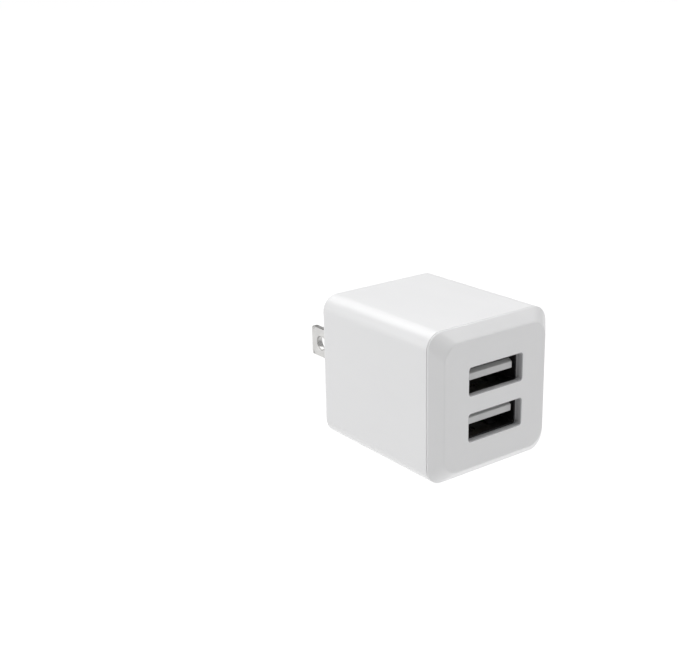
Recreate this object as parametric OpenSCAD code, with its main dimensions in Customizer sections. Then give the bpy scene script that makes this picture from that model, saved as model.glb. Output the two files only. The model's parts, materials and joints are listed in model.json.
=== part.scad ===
// Wall charger with two USB-A ports and two fixed flat blades.
// Frame: the origin is the centre of the wall face, +Y points into the wall,
// +Z is up and -Y is the side that the ports face. Units are millimetres.

/* [Body] */
// Width of the body, left to right
body_w = 30; // [30:0.5:33]
// Height of the body
body_h = 30; // [30:0.5:33]
// Length of the body, from the wall face to the port face
body_len = 35; // [35:0.5:37]
// Radius of the four long edges
corner_r = 3.4; // [3:0.1:4]
// Thickness of the shell's side walls
wall = 1.6; // [1.5:0.1:1.8]
// Radius of the edge round the wall face
end_fillet = 0.9; // [0.6:0.1:1.2]
// Width of the rim round the recessed rating panel
rim_w = 2.2; // [2:0.1:3]
// Depth of the recessed rating panel
panel_recess = 0.35; // [0.2:0.05:0.5]

/* [Port face] */
// Width of the bevel round the port face, seen from the front
bevel_w = 2.2; // [1.8:0.1:2.4]
// Depth of that bevel, front to back
bevel_d = 2.2; // [1.8:0.1:2.4]
// Corner radius of the flat port face
face_r = 3.5; // [3:0.1:4]
// Thickness of the plastic round the ports
face_t = 1.4; // [1.2:0.1:1.6]

/* [Ports] */
// Distance between the two openings in the plastic, centre to centre
port_pitch = 9.2; // [9:0.1:9.4]
// Distance between the two sockets behind them, centre to centre
socket_pitch = 8.8; // [8.7:0.1:9]
// How far the sockets sit below the middle of the body
socket_drop = 0.2; // [0:0.05:0.2]
// Width of a port's opening in the plastic
port_w = 13.5; // [13.2:0.1:13.6]
// Height of a port's opening in the plastic
port_h = 5.5; // [5.4:0.1:5.6]
// Length of a port's steel shell
usb_len = 10.6; // [10.4:0.1:10.8]
// Clear width inside the steel shell
usb_in_w = 12.5; // [12.4:0.05:12.6]
// Clear height inside the steel shell
usb_in_h = 5.12; // [5:0.02:5.2]
// Thickness of the steel shell
usb_t = 0.3; // [0.25:0.05:0.3]
// Thickness of the tongue that carries the contacts
tongue_t = 1.84; // [1.8:0.02:1.9]
// How far the tongue's tip sits behind the shell's front edge
tongue_setback = 0.1; // [0.1:0.1:0.8]

/* [Blades] */
// Distance between the blades, centre to centre
blade_pitch = 12.7; // [12.6:0.1:12.8]
// Width of a blade
blade_w = 6.35; // [6.1:0.05:6.5]
// Thickness of a blade
blade_t = 1.5; // [1.4:0.05:1.6]
// Length of a blade beyond the wall face
blade_len = 15.9; // [15.9:0.1:18.2]
// Diameter of the hole in a blade
blade_hole_d = 3.2; // [3:0.1:3.4]
// Distance from the wall face to that hole
blade_hole_y = 11.9; // [11.7:0.1:12]

/* [Boards] */
// Thickness of both circuit boards
board_t = 1.2; // [1:0.1:1.4]
// Width of the main board
main_w = 23.6; // [23:0.2:23.6]
// Radius of a component's wire lead
lead_r = 0.3; // [0.25:0.05:0.35]

/* [Hidden] */
$fn = 48;
eps = 0.01;
slip = 0.05;            // clearance round a piece that slides into place

// Body
sleeve_len = body_len - bevel_d - 0.3;    // the shell's length, up to the parting line
inner_w = body_w - 2 * wall;
inner_h = body_h - 2 * wall;
inner_r = corner_r - wall;
end_wall = 2;                             // wall that the blades pass through
end_in_y = -panel_recess - end_wall;      // its inside face
snap_w = 8;
snap_y = -sleeve_len + 2.2;
snap_proud = 0.45;

// Front cap
skirt_len = 4;
skirt_t = 1.2;
skirt_w = inner_w - 2 * slip;
skirt_h = inner_h - 2 * slip;
skirt_back_y = -sleeve_len + skirt_len;
face_in_y = -body_len + face_t;
collar_t = 0.9;
collar_len = 2;

// Ports
port_z = [port_pitch / 2, -port_pitch / 2];
socket_z = [socket_pitch / 2 - socket_drop, -socket_pitch / 2 - socket_drop];
usb_front_y = face_in_y + 0.02;
usb_back_y = usb_front_y + usb_len;
usb_out_w = usb_in_w + 2 * usb_t;
usb_out_h = usb_in_h + 2 * usb_t;
usb_out_r = 0.7;
block_len = 2.3;                          // moulded block that closes the back of the shell
block_y = usb_back_y - block_len;
tongue_w = 11.1;
tongue_tip_y = usb_front_y + tongue_setback;
tip_chamfer = 0.3;
contact_x = [-3.5, -1, 1, 3.5];
contact_w = 1;
contact_t = 0.25;
groove_w = contact_w + 0.24;
groove_d = 0.98;
hinge_y = block_y - 0.35;                 // root of a contact spring
hinge_z = 0.48;
root_r = 0.2;
tail_w = 0.7;
tab_w = 2.2;                              // retention springs cut in the shell
tab_x = 3.1;
tab_back_y = usb_back_y - 3.4;
tab_front_y = tab_back_y - 4.6;
tab_slit = 0.35;
tab_in = 0.42;

// Blades
shoulder_w = blade_w + 2;
shoulder_len = 2;
tail_blade_w = 4.4;
tail_end_y = end_in_y - 5.2;
tip_r = 0.9;
carrier_w = 19;
carrier_h = 10.8;
carrier_back = 1.1;
carrier_y = end_in_y - shoulder_len - carrier_back;
stake_z = 3.6;
stake_r = 1;
stake_head_r = 1.5;

// Boards
board_gap = 1.5;                          // room for solder under the main board
rest_x = 6.4;                             // ribs that the main board lies on
rest_w = 0.6;
main_z0 = -inner_h / 2 + board_gap;
main_z = main_z0 + board_t;               // top face of the main board
main_back_y = end_in_y - 0.85;
main_front_y = skirt_back_y - 0.7;
usb_board_w = 15.4;
usb_board_top = socket_z[0] + usb_out_h / 2 + 1.6;
usb_board_y0 = usb_back_y + 0.15;
usb_board_y = usb_board_y0 + board_t;     // rear face of the port board
pin_s = 0.6;
pin_x = [-5, -2.5, 0, 2.5, 5];
card_t = 0.25;
card_y = usb_board_y + pin_s + 0.2;

// Transformer
core_w = 12.4;
core_h = 12.4;
core_d = 6;
core_back_t = 2.6;
core_leg_w = 1.9;
core_mid_w = 2.9;
core_gap = 0.1;
trafo_x = -6.4;
trafo_y = card_y + card_t + 5.8;
trafo_z = main_z + 1.8 + core_h / 2;
bobbin_d = 11.1;
flange_t = 0.8;
flange_w = core_w - 2 * core_leg_w - 0.2;
spool_h = core_h - 2 * core_back_t;
tube_t = 0.6;
trafo_pin_x = [-3.6, -1.2, 1.2, 3.6];
trafo_pin_dy = bobbin_d / 2 - 0.9;

// Capacitors: [x, y, radius, height, lead pitch]
input_cap = [8.9, card_y + card_t + 4.4, 4, 15.5, 3.5];
out_cap_l = [-9.95, usb_board_y0 - 3.25, 3.15, 11.5, 2.5];
out_cap_r = [9.95, usb_board_y0 - 3.25, 3.15, 11.5, 2.5];
filter_r = 3.7;
filter_len = 14;
filter_y = end_in_y - 4.4;
filter_z = carrier_h / 2 + filter_r + 0.2;
filter_lead_x = -10.7;
filter_lead_dy = 1.25;
safety_cap_x = 2.3;
safety_cap_y = card_y + card_t + 3.9;
safety_cap_r = 3.3;
safety_cap_t = 3;
safety_cap_z = main_z + safety_cap_r + 1.6;

// Small parts
choke_xy = [2.3, end_in_y - 8.3];
choke_lead_dy = 1.3;
choke_h = 6.2;
choke_r = 2.1;
fuse_y = end_in_y - 2.3;
fuse_r = 1.25;
fuse_z = -carrier_h / 2 - fuse_r - 0.1;
fuse_len = 6.2;
fuse_lead_x = 4.8;
bridge_xy = [0, end_in_y - 3.6];
chip_xy = [7.4, end_in_y - 7.15];
diode_xy = [-2.6, usb_board_y0 - 3.2];
port_chip_z = 0;
port_chip_h = 0.6;
safety_lead_dy = 2.5;
through_leads = concat(
    pair_y(input_cap), pair_y(out_cap_l), pair_y(out_cap_r),
    [for (s = [-1, 1]) [safety_cap_x, safety_cap_y + s * safety_lead_dy]],
    [for (s = [-1, 1]) [choke_xy[0], choke_xy[1] + s * choke_lead_dy]],
    [for (s = [-1, 1]) [s * fuse_lead_x, fuse_y]],
    [for (s = [-1, 1]) [filter_lead_x, filter_y + s * filter_lead_dy]]
);
lead_below = 0.9;                         // how far a lead stands out under the board

function pair_y(c) = [for (s = [-1, 1]) [c[0], c[1] + s * c[4] / 2]];

// Extrudes a profile drawn in X and Z along Y, from y0 up to y1.
module along_y(y0, y1) {
    translate([0, y1, 0]) rotate([90, 0, 0]) linear_extrude(y1 - y0) children();
}

// Extrudes a profile drawn in Y and Z along X, from x0 up to x1.
module along_x(x0, x1) {
    translate([x0, 0, 0]) rotate([90, 0, 90]) linear_extrude(x1 - x0) children();
}

// Extrudes a profile drawn in X and Y along Z, from z0 up to z1.
module along_z(z0, z1) {
    translate([0, 0, z0]) linear_extrude(z1 - z0) children();
}

module rounded_rect(w, h, r) {
    square([w - 2 * r, h], center = true);
    square([w, h - 2 * r], center = true);
    for (x = [-1, 1], y = [-1, 1])
        translate([x * (w / 2 - r), y * (h / 2 - r)]) circle(r);
}

module ring_rect(w, h, r, t) {
    difference() {
        rounded_rect(w, h, r);
        rounded_rect(w - 2 * t, h - 2 * t, max(r - t, 0.2));
    }
}

module box(x0, x1, y0, y1, z0, z1) {
    translate([x0, y0, z0]) cube([x1 - x0, y1 - y0, z1 - z0]);
}

// Rounded bar along Y whose end at y1 has its edge rounded to radius f.
module filleted_bar(w, h, r, f, y0, y1) {
    along_y(y0, y1 - f) rounded_rect(w, h, r);
    along_y(y1 - f - eps, y1) rounded_rect(w - 2 * f, h - 2 * f, r - f);
    translate([0, y1 - f, 0]) rotate([-90, 0, 0]) {
        for (x = [-1, 1], z = [-1, 1])
            translate([x * (w / 2 - r), z * (h / 2 - r), 0])
                rotate([0, 0, (x < 0 ? (z < 0 ? 180 : 90) : (z < 0 ? 270 : 0))])
                    rotate_extrude(angle = 90)
                        translate([r - f, 0]) quarter_disc(f);
        for (s = [-1, 1]) {
            rotate([0, 0, s > 0 ? 0 : 180])
                translate([w / 2 - f, h / 2 - r, 0]) rotate([90, 0, 0])
                    linear_extrude(h - 2 * r) quarter_disc(f);
            rotate([0, 0, s > 0 ? 90 : -90])
                translate([h / 2 - f, w / 2 - r, 0]) rotate([90, 0, 0])
                    linear_extrude(w - 2 * r) quarter_disc(f);
        }
    }
}

module quarter_disc(r) {
    intersection() {
        circle(r);
        square(r);
    }
}

module outer_shell() {
    color("white") {
        difference() {
            filleted_bar(body_w, body_h, corner_r, end_fillet, -sleeve_len, 0);
            along_y(-sleeve_len - 1, end_in_y) rounded_rect(inner_w, inner_h, inner_r);
            along_y(-panel_recess, 1)
                rounded_rect(body_w - 2 * rim_w, body_h - 2 * rim_w, corner_r - 1.2);
            for (s = [-1, 1])
                box(s * blade_pitch / 2 - blade_t / 2 - slip, s * blade_pitch / 2 + blade_t / 2 + slip,
                    end_in_y - 1, 1, -blade_w / 2 - slip, blade_w / 2 + slip);
            for (s = [0, 1]) mirror([0, 0, s])
                box(-snap_w / 2 - 0.3, snap_w / 2 + 0.3, snap_y - 1.1, snap_y + 1.1,
                    inner_h / 2 - 1, inner_h / 2 + snap_proud + 0.1);
        }
        board_rests();
        for (s = [-1, 1]) blade_stake(s * stake_z);
    }
}

// Ribs on the floor of the shell that the main board lies on, and lips that hold its rear corners down.
module board_rests() {
    for (x = [-1, 1]) {
        box(x * rest_x - rest_w / 2, x * rest_x + rest_w / 2, skirt_back_y + 0.2, end_in_y + eps,
            -inner_h / 2 - eps, main_z0);
        lip = [main_w / 2 - 0.5, inner_w / 2 + eps];
        box(x > 0 ? lip[0] : -lip[1], x > 0 ? lip[1] : -lip[0], end_in_y - 5, end_in_y + eps,
            main_z + slip, main_z + 0.9);
    }
}

// Moulded pin, melted over the blade carrier to hold it.
module blade_stake(z) {
    translate([0, end_in_y + eps, z]) rotate([90, 0, 0]) {
        cylinder(r = stake_r, h = end_in_y - carrier_y + 0.5);
        translate([0, 0, end_in_y - carrier_y + slip]) cylinder(r = stake_head_r, h = 0.6);
    }
}

module front_cap() {
    land_y = -sleeve_len - 0.3;
    color("whitesmoke") {
        difference() {
            union() {
                along_y(land_y, -sleeve_len) rounded_rect(body_w, body_h, corner_r);
                hull() {
                    along_y(land_y - eps, land_y) rounded_rect(body_w, body_h, corner_r);
                    along_y(-body_len - eps, -body_len)
                        rounded_rect(body_w - 2 * bevel_w, body_h - 2 * bevel_w, face_r);
                }
                along_y(-sleeve_len - eps, skirt_back_y) rounded_rect(skirt_w, skirt_h, inner_r - slip);
            }
            box(-body_w, body_w, -body_len - 1, -body_len, -body_h, body_h);
            along_y(face_in_y, skirt_back_y + 1)
                rounded_rect(skirt_w - 2 * skirt_t, skirt_h - 2 * skirt_t, 0.8);
            for (z = port_z) translate([0, 0, z])
                along_y(-body_len - 1, face_in_y + 1) rounded_rect(port_w, port_h, 0.5);
        }
        for (z = socket_z) translate([0, 0, z]) port_collar();
        for (s = [0, 1]) mirror([0, 0, s]) snap_hook();
    }
}

// Short moulded sleeve behind the face that centres a port's steel shell.
module port_collar() {
    along_y(face_in_y - eps, face_in_y + collar_len)
        ring_rect(usb_out_w + 2 * (slip + collar_t), usb_out_h + 2 * (slip + collar_t), 1.2, collar_t);
}

// Wedge on the skirt that clicks into a pocket inside the shell.
module snap_hook() {
    top = skirt_h / 2;
    along_x(-snap_w / 2, snap_w / 2)
        polygon([[snap_y + 1, top - 0.3], [snap_y + 1, top], [snap_y - 0.7, top + snap_proud],
                 [snap_y - 1, top + snap_proud], [snap_y - 1, top - 0.3]]);
}

module blade(s) {
    x = s * blade_pitch / 2;
    color("silver") difference() {
        along_x(x - blade_t / 2, x + blade_t / 2) difference() {
            union() {
                translate([tail_end_y, -tail_blade_w / 2]) square([-tail_end_y, tail_blade_w]);
                translate([end_in_y - shoulder_len, -shoulder_w / 2])
                    square([shoulder_len, shoulder_w]);
                translate([end_in_y - eps, -blade_w / 2])
                    square([blade_len - tip_r - end_in_y + eps, blade_w]);
                translate([0, -blade_w / 2 + tip_r]) square([blade_len, blade_w - 2 * tip_r]);
                for (z = [-1, 1])
                    translate([blade_len - tip_r, z * (blade_w / 2 - tip_r)]) circle(tip_r);
            }
        }
        translate([x, blade_hole_y, 0]) rotate([0, 90, 0])
            cylinder(d = blade_hole_d, h = blade_t + 1, center = true);
        for (side = [-1, 1]) tip_bevel(x + side * blade_t / 2, side);
    }
}

// Slanted cut that thins a blade's tip on one side, so that it finds its slot.
module tip_bevel(x, side) {
    along_z(-blade_w, blade_w)
        polygon([[x - side * 0.4, blade_len + eps], [x + side, blade_len + eps], [x + side, blade_len - 1],
                 [x, blade_len - 1]]);
}

// Moulded block that traps the blades' shoulders against the end wall.
module blade_carrier() {
    color("gainsboro") difference() {
        along_y(carrier_y, end_in_y) rounded_rect(carrier_w, carrier_h, 1);
        for (s = [-1, 1]) {
            x = s * blade_pitch / 2;
            box(x - blade_t / 2 - slip, x + blade_t / 2 + slip, end_in_y - shoulder_len - slip, end_in_y + 1,
                -shoulder_w / 2 - slip, shoulder_w / 2 + slip);
            box(x - blade_t / 2 - slip, x + blade_t / 2 + slip, carrier_y - 1, end_in_y,
                -tail_blade_w / 2 - slip, tail_blade_w / 2 + slip);
            translate([0, end_in_y + 1, s * stake_z]) rotate([90, 0, 0])
                cylinder(r = stake_r + slip, h = 6);
        }
    }
}

// Springy strip that stands on the main board and presses on a blade's tail.
module contact_strip(s) {
    face = blade_pitch / 2 + blade_t / 2 + eps;
    t = 0.3;
    foot = main_z;
    color("goldenrod") mirror([s < 0 ? 1 : 0, 0, 0])
        along_y(carrier_y - 1.65, carrier_y - 0.25)
            polygon([
                [face + 1.1, foot], [face + 3.2, foot], [face + 3.2, foot + t], [face + 1.1 + t, foot + t],
                [face + t, 0.4], [face + 0.5 + t, 2.2], [face + 0.5, 2.2], [face, 0.4], [face + 1.1, foot + 0.1]
            ]);
}

module main_board() {
    color("darkgreen") difference() {
        box(-main_w / 2, main_w / 2, main_front_y, main_back_y, main_z0, main_z);
        for (p = through_leads) board_hole(p, lead_r + slip);
        for (x = trafo_pin_x, s = [-1, 1])
            board_hole([trafo_x + x, trafo_y + s * trafo_pin_dy], lead_r + slip);
        for (x = pin_x) board_hole([x, usb_board_y + pin_s / 2], pin_s * 0.75);
    }
}

module board_hole(p, r) {
    translate([p[0], p[1], main_z0 - 1]) cylinder(r = r, h = board_t + 2, $fn = 24);
}

module usb_board() {
    color("darkgreen") difference() {
        box(-usb_board_w / 2, usb_board_w / 2, usb_board_y0, usb_board_y, main_z, usb_board_top);
        for (z = socket_z) translate([0, 0, z]) {
            for (x = contact_x)
                translate([x, usb_board_y + 1, hinge_z]) rotate([90, 0, 0])
                    cylinder(r = tail_w / 2 + 0.1, h = board_t + 2, $fn = 24);
            for (s = [-1, 1])
                box(s * 6.4 - 0.3, s * 6.4 + 0.3, usb_board_y0 - 1, usb_board_y + 1, -1.3, 1.3);
        }
    }
}

// Square pins that carry power from the main board up the back of the port board.
module board_pins() {
    color("gold") for (x = pin_x)
        box(x - pin_s / 2, x + pin_s / 2, usb_board_y, usb_board_y + pin_s, main_z0 - lead_below, main_z + 2.6);
}

module usb_shell(z) {
    color("dimgray") translate([0, 0, z]) {
        difference() {
            along_y(usb_front_y, usb_back_y) ring_rect(usb_out_w, usb_out_h, usb_out_r, usb_t);
            for (x = [-1, 1], m = [0, 1]) mirror([0, 0, m]) translate([x * tab_x, 0, 0])
                box(-tab_w / 2 - tab_slit, tab_w / 2 + tab_slit, tab_front_y - tab_slit, tab_back_y,
                    usb_in_h / 2 - 0.2, usb_out_h / 2 + 1);
        }
        for (x = [-1, 1], m = [0, 1]) mirror([0, 0, m]) translate([x * tab_x, 0, 0]) retention_spring();
        for (s = [-1, 1])
            box(s * 6.4 - usb_t / 2, s * 6.4 + usb_t / 2, usb_back_y - eps, usb_board_y + 0.5, -1, 1);
    }
}

// Tab in the shell's wall that dips inwards to grip the plug.
module retention_spring() {
    low = usb_in_h / 2;
    along_x(-tab_w / 2, tab_w / 2)
        polygon([
            [tab_back_y + eps, low], [tab_back_y - 0.4, low], [tab_front_y + 1.1, low - tab_in],
            [tab_front_y, low + 0.15], [tab_front_y, low + usb_t + 0.15],
            [tab_front_y + 1.1, low - tab_in + usb_t], [tab_back_y - 0.4, low + usb_t], [tab_back_y + eps, low + usb_t]
        ]);
}

// Moulded block that closes the shell's back, with the tongue that carries the contacts.
module usb_tongue(z) {
    color("lightgray") translate([0, 0, z]) difference() {
        union() {
            along_y(block_y, usb_back_y)
                rounded_rect(usb_in_w - 2 * slip, usb_in_h - 2 * slip, usb_out_r - usb_t - slip);
            box(-tongue_w / 2, tongue_w / 2, tongue_tip_y, block_y + eps, 0, tongue_t);
        }
        for (x = contact_x) translate([x, 0, 0]) {
            box(-groove_w / 2, groove_w / 2, tongue_tip_y + 0.8, block_y, -1, groove_d);
            box(-tail_w / 2 - 0.02, tail_w / 2 + 0.02, block_y - 1, usb_back_y + 1,
                hinge_z - contact_t / 2 - 0.02, hinge_z + contact_t / 2 + 0.02);
        }
        along_x(-tongue_w, tongue_w)
            polygon([[tongue_tip_y - 1, -1], [tongue_tip_y - 1, tip_chamfer], [tongue_tip_y, tip_chamfer],
                     [tongue_tip_y + tip_chamfer, 0], [tongue_tip_y + tip_chamfer, -1]]);
    }
}

// Four sprung contacts: each turns a little about its root when a plug presses it up.
module contact_springs(z) {
    bump_y = tongue_tip_y + 2;
    tip_y = tongue_tip_y + 1.15;
    color("gold") translate([0, 0, z]) for (x = contact_x) {
        along_x(x - contact_w / 2, x + contact_w / 2) {
            translate([hinge_y, hinge_z]) circle(root_r, $fn = 24);
            polygon([
                [hinge_y, hinge_z - contact_t / 2], [hinge_y, hinge_z + contact_t / 2],
                [bump_y + 0.1, -0.42 + contact_t], [tip_y, 0.25], [tip_y, 0.25 - contact_t],
                [bump_y - 0.2, -0.42], [bump_y + 0.2, -0.42]
            ]);
        }
    }
}

module contact_tails(z) {
    color("gold") translate([0, 0, z]) for (x = contact_x)
        box(x - tail_w / 2, x + tail_w / 2, block_y, usb_board_y + 0.5,
            hinge_z - contact_t / 2, hinge_z + contact_t / 2);
}

module e_half() {
    difference() {
        box(-core_w / 2, core_w / 2, -core_d / 2, core_d / 2, -core_h / 2, -core_gap / 2);
        for (s = [-1, 1])
            box(s > 0 ? core_mid_w / 2 : -core_w / 2 + core_leg_w, s > 0 ? core_w / 2 - core_leg_w : -core_mid_w / 2,
                -core_d, core_d, -core_h / 2 + core_back_t, 1);
    }
}

module transformer_core() {
    color("dimgray") translate([trafo_x, trafo_y, trafo_z])
        for (m = [0, 1]) mirror([0, 0, m]) e_half();
}

module transformer_bobbin() {
    tube = [core_mid_w + 0.1, core_d + 0.1];
    color("darkslategray") translate([trafo_x, trafo_y, trafo_z]) {
        difference() {
            union() {
                for (m = [0, 1]) mirror([0, 0, m])
                    box(-flange_w / 2, flange_w / 2, -bobbin_d / 2, bobbin_d / 2,
                        -spool_h / 2 + slip, -spool_h / 2 + flange_t);
                along_z(-spool_h / 2 + slip, spool_h / 2 - slip)
                    square([tube[0] + 2 * tube_t, tube[1] + 2 * tube_t], center = true);
            }
            along_z(-core_h, core_h) square(tube, center = true);
        }
        for (s = [0, 1]) mirror([0, s, 0]) difference() {
            box(-4.6, 4.6, core_d / 2 + 0.2, bobbin_d / 2, -core_h / 2 - 1.8, -spool_h / 2 + flange_t);
            for (x = trafo_pin_x)
                translate([x, trafo_pin_dy, -core_h / 2 - 2]) cylinder(r = lead_r + 0.02, h = 2.2, $fn = 24);
        }
    }
}

module transformer_winding() {
    color("gold") translate([trafo_x, trafo_y, trafo_z])
        along_z(-spool_h / 2 + flange_t + slip, spool_h / 2 - flange_t - slip) difference() {
            rounded_rect(flange_w - 0.3, bobbin_d - 0.7, 1.8);
            square([core_mid_w + 0.12 + 2 * tube_t, core_d + 0.12 + 2 * tube_t], center = true);
        }
}

module core_tape() {
    color("khaki") translate([trafo_x, trafo_y, trafo_z])
        along_y(-core_d / 2 + 0.5, core_d / 2 - 0.5)
            difference() {
                square([core_w + 0.3, core_h + 0.3], center = true);
                square([core_w + 0.04, core_h + 0.04], center = true);
            }
}

module transformer_pins() {
    color("silver") for (x = trafo_pin_x, s = [-1, 1])
        translate([trafo_x + x, trafo_y + s * trafo_pin_dy, main_z0 - lead_below])
            cylinder(r = lead_r, h = main_z - main_z0 + lead_below + 1.9, $fn = 24);
}

// Electrolytic capacitor standing on z = 0: sleeved can with a crimp, a dished top and a scored vent.
module capacitor_can(r, h) {
    difference() {
        rotate_extrude() polygon([
            [0, 0.3], [r - 0.9, 0.3], [r - 0.7, 0], [r - 0.2, 0], [r, 0.2], [r, 1.5], [r - 0.3, 1.9], [r, 2.3],
            [r, h - 0.4], [r - 0.4, h], [r - 0.9, h], [r - 1.1, h - 0.25], [0, h - 0.25]
        ]);
        for (a = [0, 90]) rotate([0, 0, a])
            box(-r * 0.55, r * 0.55, -0.12, 0.12, h - 0.4, h);
    }
}

module standing_capacitor(c) {
    translate([c[0], c[1], main_z]) capacitor_can(c[2], c[3]);
}

module input_capacitor() {
    color("midnightblue") standing_capacitor(input_cap);
}

// Second high-voltage capacitor, lying on top of the blade carrier.
module filter_capacitor() {
    color("midnightblue") translate([-filter_len / 2 + 1.6, filter_y, filter_z]) rotate([0, 90, 0])
        capacitor_can(filter_r, filter_len);
}

module left_output_capacitor() {
    color("darkolivegreen") standing_capacitor(out_cap_l);
}

module right_output_capacitor() {
    color("darkolivegreen") standing_capacitor(out_cap_r);
}

// Blue ceramic disc that bridges the two sides of the supply.
module safety_capacitor() {
    r = safety_cap_r;
    t = safety_cap_t / 2;
    color("royalblue") translate([safety_cap_x, safety_cap_y, safety_cap_z]) rotate([0, 90, 0])
        rotate_extrude() polygon([[0, -t], [r - 1.2, -t], [r - 0.4, -t * 0.7], [r, -t * 0.2], [r, t * 0.2],
                                  [r - 0.4, t * 0.7], [r - 1.2, t], [0, t]]);
}

module fuse_resistor() {
    h = fuse_len / 2;
    color("seagreen") translate([0, fuse_y, fuse_z]) rotate([0, 90, 0])
        rotate_extrude() polygon([[0, -h], [0.8, -h], [fuse_r, -h + 0.4], [fuse_r, -h + 1.4], [1.05, -h + 1.7],
                                  [1.05, h - 1.7], [fuse_r, h - 1.4], [fuse_r, h - 0.4], [0.8, h], [0, h]]);
}

module choke_core() {
    color("dimgray") translate([choke_xy[0], choke_xy[1], main_z])
        rotate_extrude() polygon([[0, 0], [choke_r, 0], [choke_r, 0.8], [1.1, 0.8], [1.1, choke_h - 0.8],
                                  [choke_r, choke_h - 0.8], [choke_r, choke_h], [0, choke_h]]);
}

module choke_winding() {
    color("peru") translate([choke_xy[0], choke_xy[1], main_z])
        rotate_extrude() polygon([[1.12, 0.82], [choke_r - 0.25, 0.82], [choke_r - 0.15, choke_h / 2],
                                  [choke_r - 0.25, choke_h - 0.82], [1.12, choke_h - 0.82]]);
}

// Moulded package, l long and w wide, with sides that slope in above and below its leads.
module package(l, w, h) {
    slope = 0.15;
    hull() {
        for (z = [[0, slope], [h / 2, 0], [h, slope]])
            translate([0, 0, z[0]]) linear_extrude(eps)
                square([l - 2 * z[1], w - 2 * z[1]], center = true);
    }
}

// Bent leads down both sides of a package: n a side, spaced by pitch along its length.
module gull_legs(w, h, n, pitch, leg_w) {
    t = 0.18;
    reach = 0.9;
    for (m = [0, 1]) mirror([0, m, 0]) for (i = [0 : n - 1])
        along_x((i - (n - 1) / 2) * pitch - leg_w / 2, (i - (n - 1) / 2) * pitch + leg_w / 2)
            polygon([
                [w / 2 + eps, h / 2], [w / 2 + eps, h / 2 + t], [w / 2 + 0.45, h / 2 + t], [w / 2 + 0.6, t],
                [w / 2 + reach, t], [w / 2 + reach, 0], [w / 2 + 0.42, 0], [w / 2 + 0.3, h / 2]
            ]);
}

module bridge_rectifier() {
    color("black") translate([bridge_xy[0], bridge_xy[1], main_z + 0.1]) package(4.7, 2.6, 2.2);
}

module control_chip() {
    color("black") translate([chip_xy[0], chip_xy[1], main_z + 0.1]) package(4.9, 2.6, 1.4);
}

module output_diode() {
    color("black") translate([diode_xy[0], diode_xy[1], main_z + 0.1]) package(3.6, 3.4, 2.2);
}

module port_chip() {
    color("black") translate([0, usb_board_y + 0.08, port_chip_z]) rotate([-90, 0, 0]) package(2.9, 1.6, port_chip_h);
}

module bridge_legs() {
    color("silver") translate([bridge_xy[0], bridge_xy[1], main_z]) gull_legs(2.6, 2.2, 2, 2.5, 0.6);
}

module control_chip_legs() {
    color("silver") translate([chip_xy[0], chip_xy[1], main_z]) gull_legs(2.6, 1.4, 4, 1.27, 0.4);
}

module diode_legs() {
    color("silver") translate([diode_xy[0], diode_xy[1], main_z]) gull_legs(3.4, 2.2, 1, 1, 1.8);
}

module port_chip_legs() {
    color("silver") translate([0, usb_board_y, port_chip_z]) rotate([-90, 0, 0])
        gull_legs(1.6, port_chip_h, 3, 0.95, 0.35);
}

module board_resistors() {
    color("dimgray") for (p = [[3.4, 0], [5.4, 0], [5.4, 1.6], [5.4, -1.6]])
        translate([p[0], usb_board_y + 0.25, p[1]]) cube([0.8, 0.5, 1.2], center = true);
}

module board_capacitors() {
    color("tan") for (x = [2.2, 4], y = [-3.6, -1.6])
        translate([x, usb_board_y0 + y, main_z + 0.4]) cube([0.8, 1.4, 0.8], center = true);
}

module capacitor_leads() {
    color("silver") for (c = [input_cap, out_cap_l, out_cap_r], p = pair_y(c))
        straight_lead(p, main_z + 0.28);
}

module safety_capacitor_leads() {
    rise = sqrt(safety_cap_r ^ 2 - (safety_lead_dy - lead_r) ^ 2) + 0.02;
    color("silver") for (s = [-1, 1])
        straight_lead([safety_cap_x, safety_cap_y + s * safety_lead_dy], safety_cap_z - rise);
}

module choke_leads() {
    color("silver") for (s = [-1, 1])
        straight_lead([choke_xy[0], choke_xy[1] + s * choke_lead_dy], main_z);
}

module fuse_leads() {
    color("silver") for (s = [-1, 1]) {
        x = s * fuse_lead_x;
        straight_lead([x, fuse_y], fuse_z);
        translate([x, fuse_y, fuse_z]) sphere(lead_r, $fn = 24);
        translate([x, fuse_y, fuse_z]) rotate([0, -s * 90, 0])
            cylinder(r = lead_r, h = fuse_lead_x - fuse_len / 2, $fn = 24);
    }
}

module filter_capacitor_leads() {
    color("silver") for (s = [-1, 1]) {
        y = filter_y + s * filter_lead_dy;
        straight_lead([filter_lead_x, y], filter_z);
        translate([filter_lead_x, y, filter_z]) sphere(lead_r, $fn = 24);
        translate([filter_lead_x, y, filter_z]) rotate([0, 90, 0])
            cylinder(r = lead_r, h = -filter_len / 2 + 1.6 + 0.3 - filter_lead_x, $fn = 24);
    }
}

module straight_lead(p, top) {
    translate([p[0], p[1], main_z0 - lead_below]) cylinder(r = lead_r, h = top - main_z0 + lead_below, $fn = 24);
}

// Insulating sleeves on the long leads of the lying capacitor.
module lead_sleeves() {
    color("black") for (s = [-1, 1])
        translate([filter_lead_x, filter_y + s * filter_lead_dy, main_z + 1]) difference() {
            cylinder(r = lead_r + 0.3, h = filter_z - main_z - 2, $fn = 24);
            translate([0, 0, -1]) cylinder(r = lead_r + 0.02, h = filter_z - main_z, $fn = 24);
        }
}

module solder_joints() {
    color("lightgray") {
        for (p = through_leads) solder_cone(p);
        for (x = trafo_pin_x, s = [-1, 1]) solder_cone([trafo_x + x, trafo_y + s * trafo_pin_dy]);
    }
}

module solder_cone(p) {
    translate([p[0], p[1], main_z0]) rotate_extrude($fn = 24)
        polygon([[lead_r + eps, 0], [0.75, 0], [0.45, -0.35], [lead_r + 0.08, -0.75], [lead_r + eps, -0.75]]);
}

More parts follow.
